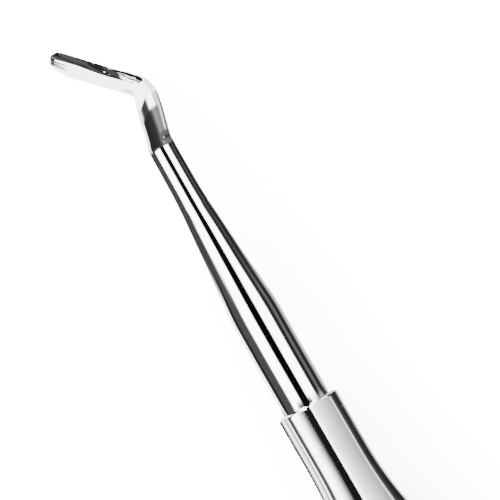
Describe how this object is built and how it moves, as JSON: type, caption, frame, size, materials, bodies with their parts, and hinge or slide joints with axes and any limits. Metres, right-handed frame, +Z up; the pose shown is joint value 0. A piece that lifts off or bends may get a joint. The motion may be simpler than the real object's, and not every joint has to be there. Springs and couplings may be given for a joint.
{
  "type": "dental elevator",
  "caption": "Dental elevator with a bent gouge blade on a tapered round shank, set in a hollow octagonal steel handle with a domed butt.",
  "frame": {"origin": "centre of the grip's bottom facet, which the tool lies on", "axes": "+X along the tool towards the blade's tip, +Y towards the side the blade points to, +Z up out of the surface the tool lies on"},
  "size_m": [0.1532, 0.0178, 0.0178],
  "materials": {
    "polished_steel": "mirror-polished stainless steel with faint polishing lines",
    "handle_steel": "polished stainless steel, slightly satin",
    "inner_steel": "turned steel, hidden inside the handle",
    "braze_alloy": "silver brazing alloy, hidden in the mouth"
  },
  "bodies": {
    "root": {"working_end": "polished_steel", "handle_shell": "handle_steel", "butt_cap": "handle_steel", "tang_bush": "inner_steel", "tang_pin": "inner_steel", "braze_ring": "braze_alloy"}
  },
  "joints": []
}
